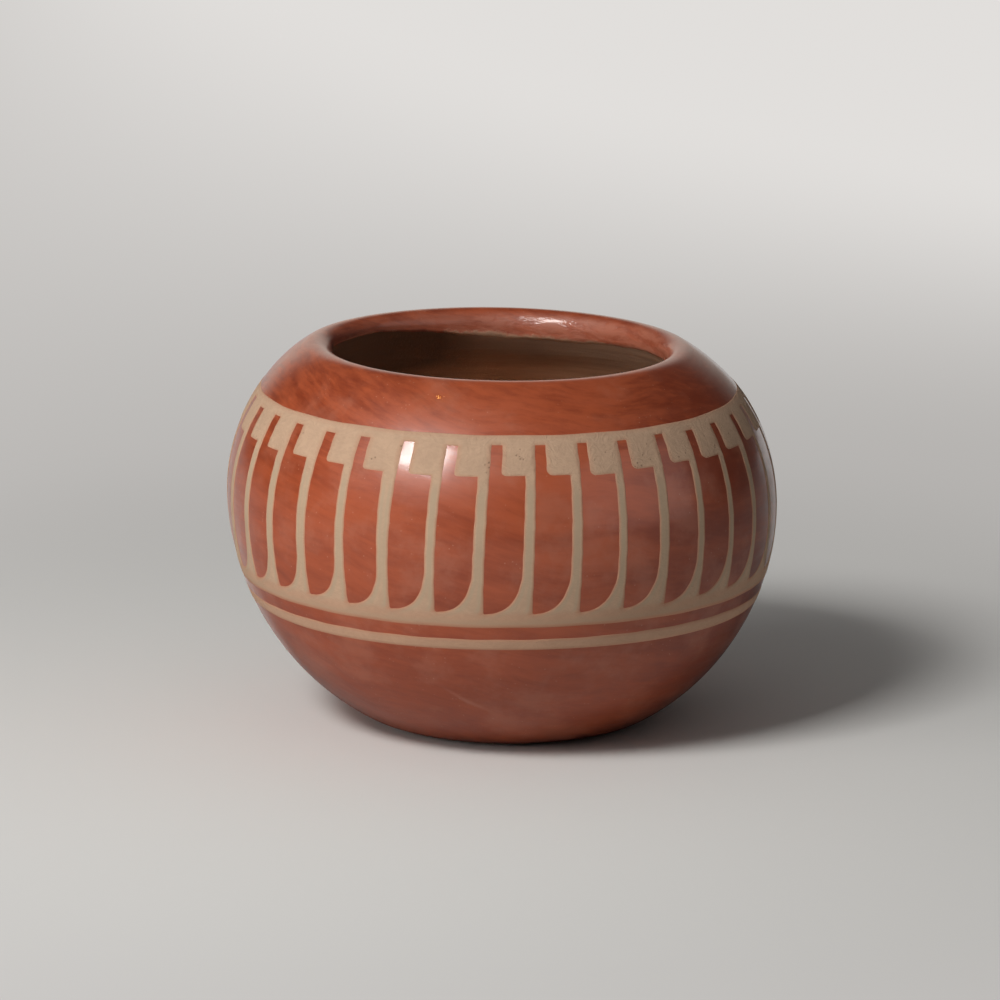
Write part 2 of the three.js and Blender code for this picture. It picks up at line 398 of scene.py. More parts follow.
def hand_made(shape, radius, angle, level):
    """Turns radius, angle and height into points of the jar as it was made by hand.

    The radius strays by three slow waves round the jar, the lip's inner roll isn't the same all round, the
    lip dips towards +X and comes further in at -X, and the whole jar leans.
    """
    radius, level = lip_roll(shape, radius, angle, level)
    height = level / shape.height
    stray = waves(angle, (0.5, 2, 0.7 + 5 * height), (0.3, 3, -1.1 - 4 * height), (0.2, 5, 2.4 + 9 * height))
    radius = radius + shape.unevenness * stray * smooth_step(radius / shape.foot_radius)
    x, y = radius * np.sin(angle), -radius * np.cos(angle)
    z = level - math.tan(shape.lip_tilt) * smooth_step((height - DIP_FROM) / DIP_OVER) * x
    within = smooth_step((shape.lip_radius - radius) / shape.lip_inner_rounding)
    heavier = shape.lip_heavier * within * smooth_step((height - HEAVY_FROM) / HEAVY_OVER)
    x = x + heavier + shape.mouth_shift / shape.height * (level - shape.belly_height)
    return np.stack([x, y, z], axis=-1)


# Meshes


def grid_faces(rows, columns):
    """Quads of a grid that closes on itself both ways, facing out where the rows run up the outside."""
    row, column = np.meshgrid(np.arange(rows), np.arange(columns), indexing="ij")
    above, beside = (row + 1) % rows, (column + 1) % columns
    corners = [(row, column), (row, beside), (above, beside), (above, column)]
    return np.stack([up * columns + across for up, across in corners], axis=-1).reshape(-1, 4)


def put_piece(name, points, faces, material, nodes):
    """Makes a smooth mesh piece that rides on the jar's body and stands for the CAD nodes it replaces."""
    mesh = bpy.data.meshes.new(name)
    mesh.from_pydata(points.reshape(-1, 3), [], faces, shade_flat=False)
    if mesh.validate():
        raise RuntimeError(f"{name} has faces that Blender doesn't accept")
    mesh.materials.append(material)
    piece = bpy.data.objects.new(name, mesh)
    bpy.context.scene.collection.objects.link(piece)
    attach(piece, "root")
    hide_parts(*nodes)
    return piece


def give(mesh, name, values):
    """Stores one number for each vertex."""
    mesh.attributes.new(name, "FLOAT", "POINT").data.foreach_set("value", values.astype(np.float32))


def all_round(columns):
    """Even angles round the jar, as one row."""
    return np.linspace(0, ROUND, columns, endpoint=False)[None, :]


def turned(shape, outline):
    """Turns outlines of radius and height, one for each column, round the jar's axis."""
    return hand_made(shape, outline[..., 0], all_round(outline.shape[1]), outline[..., 1])


# Materials


# Middle of the front shoulder, where the stone has left the slip thinnest
THIN_PLACE = (0.006, -0.056, 0.096)
# Small spot on the left of the shoulder that the stone has polished like glass
GLASSY_PLACE = (-0.0171, -0.0554, 0.1020)
# Middle, tilt and shape of a scuff on the front of the bowl: the shape's half lengths are 1 over its scale
SCUFF = (-0.0085, -0.0597, 0.0185)
SCUFF_TILT = math.radians(-34)
SCUFF_SCALE = (85.0, 12.0, 1000.0)
SCUFF_STRENGTH = 0.6


class Shading:
    """Adds shader nodes to a new material or a given tree; a value that is a node's output becomes a link."""

    def __init__(self, name, tree=None):
        if tree is None:
            self.material = bpy.data.materials.new(name)
            self.material.use_nodes = True
            tree = self.material.node_tree
        self.tree = tree
        self.tree.nodes.clear()

    def add(self, kind, inputs=(), **settings):
        """Adds a node with the given settings and inputs, by name or number."""
        node = self.tree.nodes.new(kind)
        for key, value in settings.items():
            setattr(node, key, value)
        for key, value in dict(inputs).items():
            if isinstance(value, bpy.types.NodeSocket):
                self.tree.links.new(value, node.inputs[key])
            else:
                node.inputs[key].default_value = value
        return node

    def sum(self, first, second):
        return self.math("ADD", first, second)

    def product(self, first, second):
        return self.math("MULTIPLY", first, second)

    def product_plus(self, first, second, third):
        return self.math("MULTIPLY_ADD", first, second, third)

    def place(self, scale=(1, 1, 1), tilt=0.0, bend=0.0, bend_scale=20.0):
        """Object coordinates, bent up and down by slow noise, then tilted about Y and stretched."""
        spot = self.add("ShaderNodeTexCoord").outputs["Object"]
        if bend:
            lift = self.product_plus(self.noise(spot, bend_scale, 1.0), bend, -bend / 2)
            shift = self.add("ShaderNodeCombineXYZ", {"Z": lift}).outputs["Vector"]
            spot = self.add("ShaderNodeVectorMath", {0: spot, 1: shift}, operation="ADD").outputs["Vector"]
        tilted = self.add("ShaderNodeMapping", {"Vector": spot, "Rotation": (0, tilt, 0)}).outputs["Vector"]
        return self.add("ShaderNodeMapping", {"Vector": tilted, "Scale": scale}).outputs["Vector"]

    def axes(self, vector):
        return self.add("ShaderNodeSeparateXYZ", {"Vector": vector}).outputs

    def distance(self, spot, middle):
        return self.add("ShaderNodeVectorMath", {0: spot, 1: middle}, operation="DISTANCE").outputs["Value"]

    def attribute(self, name):
        """The number that a mesh holds for each vertex under a name."""
        return self.add("ShaderNodeAttribute", attribute_name=name).outputs["Fac"]

    def noise(self, vector, scale, detail=3.0, roughness=0.5, distortion=0.0):
        inputs = {"Vector": vector, "Scale": scale, "Detail": detail, "Roughness": roughness}
        return self.add("ShaderNodeTexNoise", {**inputs, "Distortion": distortion}).outputs["Fac"]

    def streaks(self, scale, tilt, bend, bend_scale, detail=4.0, roughness=0.6):
        """Noise drawn out by a scale for each axis into streaks that tilt by some degrees and bend."""
        return self.noise(self.place(scale, math.radians(tilt), bend, bend_scale), 1.0, detail, roughness)

    def specks(self, spot, low, high):
        """Specks about a millimetre apart, 1 in the middle and 0 outside, and a chance for each."""
        cells = self.add("ShaderNodeTexVoronoi", {"Vector": spot, "Scale": 1000.0}).outputs
        chance = self.add("ShaderNodeSeparateColor", {"Color": cells["Color"]}).outputs["Red"]
        return self.between(cells["Distance"], low, high, 1.0, 0.0), chance

    def math(self, operation, *values):
        return self.add("ShaderNodeMath", dict(enumerate(values)), operation=operation).outputs["Value"]

    def between(self, value, low, high, to_low=0.0, to_high=1.0):
        """Maps a value smoothly from one range to another and holds it there."""
        inputs = {"Value": value, "From Min": low, "From Max": high, "To Min": to_low, "To Max": to_high}
        return self.add("ShaderNodeMapRange", inputs, interpolation_type="SMOOTHSTEP").outputs["Result"]

    def mix(self, factor, first, second):
        """Colour that goes from the first to the second as the factor goes from 0 to 1."""
        node = self.add("ShaderNodeMix", data_type="RGBA")
        sockets = [s for s in node.inputs if s.enabled]
        for socket, value in zip(sockets, (factor, solid(first), solid(second))):
            if isinstance(value, bpy.types.NodeSocket):
                self.tree.links.new(value, socket)
            else:
                socket.default_value = value
        return next(s for s in node.outputs if s.enabled)

    def bump(self, height, distance, strength=1.0, normal=None):
        inputs = {"Height": height, "Distance": distance, "Strength": strength}
        if normal is not None:
            inputs["Normal"] = normal
        return self.add("ShaderNodeBump", inputs).outputs["Normal"]

    def finish(self, **inputs):
        """Ends the material with a Principled surface; an underscore in a name stands for a space."""
        named = {key.replace("_", " "): value for key, value in inputs.items()}
        surface = self.add("ShaderNodeBsdfPrincipled", named)
        self.add("ShaderNodeOutputMaterial", {"Surface": surface.outputs["BSDF"]})
        return self.material


def solid(colour):
    """A colour with full alpha, or a socket as it is."""
    return colour if isinstance(colour, bpy.types.NodeSocket) else (*colour, 1.0)


def scaled(colour, factor):
    """A colour made darker or lighter, at most to 1."""
    return [min(1.0, factor * channel) for channel in colour]


def scuff(shading):
    """A pale slanting scuff: 1 in the middle of a long thin round shape on the bowl, 0 outside it."""
    across = SCUFF[0] * math.cos(SCUFF_TILT) + SCUFF[2] * math.sin(SCUFF_TILT)
    above = SCUFF[2] * math.cos(SCUFF_TILT) - SCUFF[0] * math.sin(SCUFF_TILT)
    middle = [scale * place for scale, place in zip(SCUFF_SCALE, (across, SCUFF[1], above))]
    spot = shading.place(SCUFF_SCALE, SCUFF_TILT, bend=0.004, bend_scale=70.0)
    return shading.between(shading.distance(spot, middle), 0.1, 1.0, SCUFF_STRENGTH, 0.0)


def slip_thinness(shading, spot, broad, fine, calm):
    """How thin the slip looks, from 0 where it is thick and brown red to 1 where it is orange red.

    Streaks, mottling and clouds add up. Where it is calm, below the shoulder, level bands take their place.
    The middle of the front shoulder is thinner, and the slip is a little darker brown towards the right side.
    """
    side, _, height = shading.axes(spot)
    mottle = shading.noise(spot, 190.0, 4.0, 0.65)
    clouds = shading.noise(spot, 34.0, 4.0, 0.6)
    thin = shading.product_plus(broad, 0.35, shading.product(fine, 0.38))
    thin = shading.product_plus(mottle, 0.17, thin)
    thin = shading.product_plus(clouds, 0.10, thin)
    bands = shading.streaks((26, 26, 150), -7, 0.012, 20.0, 3.0, 0.5)
    swing = shading.between(height, 0.034, 0.048, 0.30, 0.70)
    bands = shading.product_plus(shading.math("SUBTRACT", bands, 0.5), swing, 0.53)
    thin = shading.product_plus(calm, shading.math("SUBTRACT", bands, thin), thin)
    thin = shading.sum(thin, shading.between(shading.distance(spot, THIN_PLACE), 0.018, 0.050, 0.07, 0.0))
    # A little darker brown towards the right side
    thin = shading.sum(thin, shading.between(side, 0.028, 0.058, 0.0, -0.08))
    return shading.between(thin, 0.38, 0.63)


def slip_material(colours):
    """Stone-polished red slip: level streaks that slant on the left, mottling, pale grains, a worn edge."""
    shading = Shading("polished_red_slip")
    spot = shading.place()
    side, _, height = shading.axes(spot)
    inside, worn = shading.attribute("inside"), shading.attribute("worn")
    level = shading.streaks((52, 52, 430), -3, 0.010, 30.0, 5.0)
    slanting = shading.streaks((42, 42, 340), -21, 0.016, 20.0, 5.0)
    fine = shading.streaks((115, 115, 980), -12, 0.010, 40.0, 4.0, 0.65)
    left = shading.between(shading.product_plus(shading.noise(spot, 18.0), 0.08, side), 0.01, 0.07, 1.0, 0.0)
    broad = shading.product_plus(left, shading.math("SUBTRACT", slanting, level), level)
    calm = shading.between(height, 0.078, 0.090, 0.58, 0.0)
    thin = slip_thinness(shading, spot, broad, fine, calm)
    colour = shading.mix(thin, colours.slip_dark, colours.slip_light)
    pale = shading.product_plus(calm, 0.09, shading.noise(spot, 60.0, 5.0, 0.65))
    colour = shading.mix(shading.between(pale, 0.50, 0.72, 0.0, 0.42), colour, colours.slip_pale)
    colour = shading.mix(scuff(shading), colour, colours.slip_pale)
    # Grains lie singly and in groups
    near, chance = shading.specks(spot, 0.08, 0.26)
    groups = shading.between(shading.noise(spot, 75.0, 2.0), 0.50, 0.62, 0.0, 0.16)
    few = shading.between(shading.sum(chance, groups), 0.965, 0.985)
    grain = shading.product(shading.product(near, few), 0.42)
    colour = shading.mix(grain, colour, colours.slip_grain)
    # Inside the mouth: smeared thin slip with a painted sheen, most on the right, crumbling towards its edge
    smears_and_sheen = shading.streaks((150, 150, 420), 0, 0.004, 90.0, 4.0, 0.65)
    smears_and_sheen = shading.product(shading.between(smears_and_sheen, 0.36, 0.62, 0.15, 0.75), inside)
    smears_and_sheen = shading.product(smears_and_sheen, shading.between(side, -0.030, 0.010, 0.4, 1.0))
    colour = shading.mix(smears_and_sheen, colour, colours.slip_pale)
    crumbs = shading.noise(spot, 420.0, 4.0, 0.65)
    rubbed = shading.between(shading.sum(worn, crumbs), 0.93, 1.33)
    colour = shading.mix(shading.product(rubbed, 0.85), colour, colours.slip_edge)
    # The polish is duller along the streaks, inside and where the slip is worn
    roughness = shading.between(broad, 0.3, 0.7, 0.36, 0.46)
    glassy = shading.between(shading.distance(spot, GLASSY_PLACE), 0.0003, 0.0011, 0.28, 1.0)
    roughness = shading.product(roughness, glassy)
    roughness = shading.product_plus(worn, 0.25, roughness)
    roughness = shading.product_plus(inside, 0.18, roughness)
    relief = shading.bump(broad, 0.0003, 0.10)
    relief = shading.bump(fine, 0.00004, 0.35, relief)
    relief = shading.bump(smears_and_sheen, 0.0003, 0.5, relief)
    relief = shading.bump(shading.product(crumbs, rubbed), 0.0004, 0.6, relief)
    coat = {"Coat Weight": 0.66, "Coat Roughness": 0.13, "Coat IOR": 1.5, "Coat Normal": relief}
    return shading.finish(Base_Color=colour, Roughness=roughness, Normal=relief, IOR=1.6, **coat)


def paint_material(colours):
    """Matte buff paint: fine brush marks, thin edges where the red shows through, pits in thick blocks."""
    shading = Shading("matte_buff_paint")
    spot = shading.place()
    side, _, level = shading.axes(spot)
    thin, heavy, rib = (shading.attribute(name) for name in ("thin", "heavy", "rib"))
    brush = shading.streaks((600, 600, 1500), 0, 0.006, 150.0)
    clouds = shading.noise(spot, 110.0, 3.0, 0.6)
    tone = shading.product_plus(brush, 0.5, shading.product(clouds, 0.5))
    colour = shading.mix(shading.between(tone, 0.35, 0.65), scaled(colours.buff, 0.88), colours.buff)
    colour = shading.mix(shading.product(rib, 0.8), colour, colours.buff_rib)
    colour = shading.mix(thin, colour, colours.buff_thin)
    # Pits lie in groups, fewer on the left and near the band's top edge
    near, chance = shading.specks(spot, 0.12, 0.34)
    groups = shading.between(shading.noise(spot, 170.0, 2.0), 0.56, 0.66, 0.0, 0.55)
    fewer = shading.between(level, 0.0875, 0.0910, 0.0, -0.45)
    fewer = shading.sum(fewer, shading.between(side, -0.045, -0.015, -0.2, 0.0))
    few = shading.between(shading.sum(shading.sum(chance, groups), fewer), 0.93, 1.03)
    pit = shading.product(shading.product(near, few), heavy)
    colour = shading.mix(shading.product(pit, 0.7), colour, colours.buff_pit)
    # The relief: dabs of the brush where the paint is heavy, its marks, and the pits
    dabs = shading.noise(spot, 280.0, 3.0, 0.6, distortion=2.2)
    height = shading.product(dabs, shading.product_plus(heavy, 0.9, 0.1))
    height = shading.product_plus(brush, 0.3, height)
    height = shading.product_plus(pit, -0.5, height)
    relief = shading.bump(height, 0.00036, 0.8)
    return shading.finish(Base_Color=colour, Normal=relief, Roughness=0.82, IOR=1.4)


def clay_material(colours):
    """Unslipped clay, wiped smooth: level marks, slow clouds, and painted shade on the left and under the
    lip.
    """
    shading = Shading("wiped_clay")
    spot = shading.place()
    side, _, height = shading.axes(spot)
    wiping = shading.streaks((14, 14, 300), 0, 0.006, 14.0, 5.0)
    clouds = shading.noise(spot, 32.0, 3.0, 0.55)
    tone = shading.product_plus(wiping, 0.6, shading.product(clouds, 0.4))
    tone = shading.between(tone, 0.34, 0.66)
    colour = shading.mix(tone, scaled(colours.clay, 0.72), scaled(colours.clay, 1.15))
    # Painted shade: the clay is darkened on the left and in a band under the lip, where the inside lies in
    # shade
    left = shading.between(shading.product_plus(clouds, 0.02, side), -0.020, 0.010, 0.58, 0.0)
    painted_shade = shading.sum(left, shading.between(height, 0.0830, 0.0910, 0.0, 0.65))
    colour = shading.mix(painted_shade, colour, scaled(colours.clay, 0.28))
    relief = shading.bump(wiping, 0.0008, 0.7)
    relief = shading.bump(shading.noise(spot, 1400.0, 2.0, 0.6), 0.00015, 0.5, relief)
    return shading.finish(Base_Color=colour, Normal=relief, Roughness=0.75, IOR=1.45)


def material(name, make, colours):
    """The material of that name, made only once."""
    return bpy.data.materials.get(name) or make(colours)


# Clay


# Wall angles of the base's top and the rim's bottom, and the wall coils between them
BASE_TOP = math.radians(-36)
RIM_BOTTOM = math.radians(36)
COILS = 4
# How much lower a joint lies inside than outside, and the corner beyond which an edge is drawn sharp
JOINT_LAP = 0.005
JOINT_CORNER = math.radians(40)
CLAY_COLUMNS = 256
# Points up the outside of a coil, the rim and the base, down an inside, and along the foot's two roundings
COIL_POINTS, RIM_POINTS, BASE_POINTS, INNER_POINTS = 8, 12, 16, 24
FOOT_EDGE_POINTS, INNER_FOOT_POINTS = 8, 10
# Rings of the base's underside and of the floor inside
UNDER_RINGS, FLOOR_RINGS = 11, 14
# Depth of the hollows that the fingers left inside, where they end and fade, as shares of the height
HOLLOW = 0.00025
HOLLOWS_END, HOLLOWS_FADE = 0.9, 0.15


def wiped(section, points):
    """Rows of inner points repeated round the jar and moved by the fingers' shallow hollows.

    The wall comes in and out by three waves round the jar that turn with the height, and not near the lip.
    """
    angle = all_round(CLAY_COLUMNS)
    radius, level = points[:, None, 0], points[:, None, 1]
    share = level / section.shape.height
    hollows = waves(angle, (1, 3, 40 * share), (0.8, 7, -60 * share), (0.6, 1, 90 * share))
    fade = smooth_step((HOLLOWS_END - share) / HOLLOWS_FADE) * smooth_step(radius / section.shape.foot_radius)
    return np.stack(np.broadcast_arrays(radius + HOLLOW * hollows * fade, level), axis=-1)


def repeated(points):
    """Points of an outline, once for each column round the jar."""
    return np.repeat(points[:, None, :], CLAY_COLUMNS, axis=1)


def under_slip(coat, stretch):
    """Outside points of the clay: the outside moved in by the slip's thickness."""
    return repeated(stretch[0] - coat.thickness * stretch[1])


def clay_outlines(section, coat):
    """Closed outlines of the coils and the rim, outside upwards and inside downwards."""
    joints = np.linspace(BASE_TOP, RIM_BOTTOM, COILS + 1)
    inner_joints = [section.inner_angle(joint, JOINT_LAP) for joint in joints]
    outlines = {}
    for number in range(COILS):
        outside = under_slip(coat, section.wall(joints[number], joints[number + 1], COIL_POINTS))
        inner = section.inner_wall(inner_joints[number + 1], inner_joints[number], INNER_POINTS)
        outlines[f"wall_coil_{number + 1}"] = np.concatenate([outside, wiped(section, inner)])
    over = joined(section.wall(RIM_BOTTOM, section.shoulder_end, RIM_POINTS), section.lip())
    inner = section.inner_wall(LIP_MEET, inner_joints[-1], INNER_POINTS)
    outlines["rim_coil"] = np.concatenate([under_slip(coat, over), wiped(section, inner)])
    return outlines


def base_rows(section, coat):
    """Rows of the base from the middle of the foot, up the outside, down the inside and back to the axis."""
    shape = section.shape
    edge = section.foot(section.slip_start(coat), FOOT_EDGE_POINTS)
    outside = joined(edge, section.wall(section.foot_join, BASE_TOP, BASE_POINTS))
    under = np.stack([np.linspace(0, shape.foot_radius, UNDER_RINGS + 1)[1:], np.zeros(UNDER_RINGS)], axis=1)
    top = section.inner_angle(BASE_TOP, JOINT_LAP)
    inner_foot, normals = section.foot(-math.pi / 2, INNER_FOOT_POINTS)
    inner_foot = (inner_foot - shape.wall * normals)[::-1]
    rings = np.linspace(shape.foot_radius, 0, FLOOR_RINGS + 2)[1:-1]
    floor = np.stack([rings, np.full(FLOOR_RINGS, shape.wall)], axis=1)
    inside = [section.inner_wall(top, section.foot_join, INNER_POINTS), inner_foot[1:], floor]
    bottom = repeated(np.concatenate([under, edge[0][:1]]))
    return np.concatenate([bottom, under_slip(coat, outside), wiped(section, np.concatenate(inside))])


def base_mesh(section, coat):
    """The base as a grid of rows that a fan of triangles closes at each of its two poles on the axis."""
    points = turned(section.shape, base_rows(section, coat))
    poles = hand_made(section.shape, np.zeros(2), np.zeros(2), np.array([0.0, section.shape.wall]))
    last = (len(points) - 1) * CLAY_COLUMNS
    bottom_pole = last + CLAY_COLUMNS
    column = np.arange(CLAY_COLUMNS)
    beside = (column + 1) % CLAY_COLUMNS
    faces = grid_faces(len(points), CLAY_COLUMNS)[:last]
    under = np.stack([np.full(CLAY_COLUMNS, bottom_pole), beside, column], axis=1)
    over = np.stack([np.full(CLAY_COLUMNS, bottom_pole + 1), last + column, last + beside], axis=1)
    return np.concatenate([points.reshape(-1, 3), poles]), [*faces.tolist(), *under.tolist(), *over.tolist()]


class JAR_OT_clay(bpy.types.Operator):
    """Builds the clay pieces: the moulded base, the wall coils and the rim coil"""

    bl_idname = "jar.clay"
    bl_label = "Clay Base, Coils and Rim"

    def execute(self, context):
        scene = context.scene
        section = Section(scene.jar_shape)
        clay = material("wiped_clay", clay_material, scene.jar_colours)
        vertices, faces = base_mesh(section, scene.jar_slip)
        pieces = [put_piece("smooth_base", vertices, faces, clay, ["clay_base"])]
        for node, outline in clay_outlines(section, scene.jar_slip).items():
            points = turned(section.shape, outline)
            faces = grid_faces(len(outline), CLAY_COLUMNS)
            pieces.append(put_piece(f"smooth_{node}", points, faces, clay, [node]))
        for piece in pieces:
            piece.data.set_sharp_from_angle(angle=JOINT_CORNER)
        return {"FINISHED"}


# Slip


SLIP_COLUMNS = 320
# Rows of the slip over the outside and inside the mouth; its back has every fourth of them
OUTSIDE_ROWS, MOUTH_ROWS = 180, 40
BACK_STEP = 4
# Directions in which the slip inside the mouth runs deepest and its edge crumbles most
DEEP_SIDE = math.radians(100)
CRUMBLY_SIDE = math.radians(168)
# Share of its thickness that the coat loses at its inner edge, and lengths over which it thins and crumbles
MOST_THINNED = 0.9
THINNING = 0.0012
CRUMBLING = 0.0036
# How far past the crest of the lip the slip is smeared thin with a painted sheen, and over what length
SMEAR_AND_SHEEN_FROM, SMEAR_AND_SHEEN_OVER = 0.0010, 0.0030


def ragged_edge(angle):
    """How far the slip's inner edge strays down, from -1 to 1: slow waves with a finer ripple on them."""
    return waves(angle, (0.45, 3, 1.0), (0.25, 7, 2.0), (0.15, 17, 0), (0.10, 41, 0.5), (0.05, 89, 1.7))


def crumbling(angle):
    """How much the slip's inner edge crumbles: nearly half of its most all round, and fully on one side.

    It grows while the cosine of the angle to that side does from 0.80 to 0.95.
    """
    return 0.45 + 0.55 * smooth_step((np.cos(angle - CRUMBLY_SIDE) - 0.80) / 0.15)


def with_back(front, back, value):
    """Values of the front's rows, then one value for all rows of the back."""
    return np.concatenate([front, np.full(back.shape, value)])


class JAR_OT_slip(bpy.types.Operator):
    """Builds the polished red slip over the outside, the lip and the top of the inside"""

    bl_idname = "jar.slip"
    bl_label = "Polished Red Slip"

    def execute(self, context):
        scene = context.scene
        shape, coat = scene.jar_shape, scene.jar_slip
        meridian = Meridian(Section(shape), coat)
        crest = meridian.crest
        angle = all_round(SLIP_COLUMNS)
        end = crest + coat.inside_depth + coat.ragged * ragged_edge(angle)
        end += coat.deeper * smooth_step(0.5 + 0.9 * np.cos(angle - DEEP_SIDE))
        outside = np.linspace(0, crest, OUTSIDE_ROWS)[:, None] * np.ones(SLIP_COLUMNS)
        inside = crest + np.linspace(0, 1, MOUTH_ROWS)[1:, None] * (end - crest)
        front = np.concatenate([outside, inside])
        back = front[::-BACK_STEP]
        thinned = MOST_THINNED * coat.thickness * smooth_step(1 - (end - front) / THINNING)
        depth = with_back(thinned, back, coat.thickness)
        worn = with_back(crumbling(angle) * smooth_step(1 - (end - front) / CRUMBLING), back, 1)
        # Share of the mouth's slip that is smeared thin with a painted sheen
        smear_and_sheen = with_back(smooth_step((front - crest - SMEAR_AND_SHEEN_FROM) / SMEAR_AND_SHEEN_OVER), back, 1)
        radius, level, outward, upward = meridian.at(np.concatenate([front, back]))
        points = hand_made(shape, radius - depth * outward, angle, level - depth * upward)
        red = material("polished_red_slip", slip_material, scene.jar_colours)
        faces = grid_faces(len(points), SLIP_COLUMNS)
        piece = put_piece("polished_slip", points, faces, red, ["red_slip"])
        give(piece.data, "worn", worn.ravel())
        give(piece.data, "inside", smear_and_sheen.ravel())
        return {"FINISHED"}


# Buff paint


# How far the paint's edge lies under the slip's surface, the skin's thickness, and the rising edge's width
SUNK = 0.00004
PAINT_BACK = 0.0001
RAMP = 0.00028
# Rows of a strip of paint along the tip, the blade, the block's foot, its corner and the quill
TIP_ROWS, BLADE_ROWS, FOOT_ROWS, CORNER_ROWS, QUILL_ROWS = 14, 20, 13, 4, 10
STRIP_COLUMNS, QUILL_COLUMNS = 11, 6
# Shares across an upper and a lower border from the strips to the edge, closer where the paint's edge rises
BORDER_STEPS = (0, 0.05, 0.14, 0.5, 0.87, 0.95, 1)
LOW_BORDER_STEPS = (1, 0.97, 0.92, 0.7, 0.35, 0.1, 0)
# The first two steps in from each side of a strip
FIRST_STEP, SECOND_STEP = 0.00012, 0.00034
# How square the rounded tip is: 2 is a quarter of an ellipse
TIP_FULLNESS = 2.3
# A feather's sides waver fully from this far above its tip
WAVER_RISE = 0.0015
# Shares of the quill's height to which the strip's rows fan out at a block's foot and at its corner
FOOT_FAN, CORNER_FAN = 0.34, 0.45
# How far below the band's top edge the hanging blocks' thick paint ends, and over what height it fades
BLOCKS_END, BLOCKS_FADE = 0.012, 0.006
# How far the lower border's thin paint reaches up, and over what height it ends
LOW_END, LOW_FADE = 0.0035, 0.002
# How far in the red shows through at an edge, and how thin the paint of the lower border and the stripe is
THIN_EDGE = 0.0008
THIN_BORDER = 0.27
# The hand's spacing and lean of the front feathers, in degrees, from the left side of the front to the right,
# and how many of them come before the first feather
LEFT_FEATHERS = 12
FRONT_DRIFT = (-0.5, -1.0, -1.5, -2.0, -2.1, -1.1, -0.9, -0.6, -0.5, -0.1, -0.1)
FRONT_DRIFT += (-0.2, 0.0, 0.2, 0.2, 0.0, 0.1, -0.1, -0.2, -0.6)
FRONT_SLANT = (1.6, 1.2, 0.9, 0.6, 0.4, -0.2, 0.1, 0.2, 1.0, 0.7, 2.0)
FRONT_SLANT += (2.4, 2.4, 2.1, 2.0, 2.1, 2.4, 2.3, 2.1, 3.1)


def along(first, last, count, closed=False):
    """Rows of even steps from one row of values to another."""
    share = np.linspace(0, 1, count, endpoint=closed)[:, None]
    return first + (last - first) * share


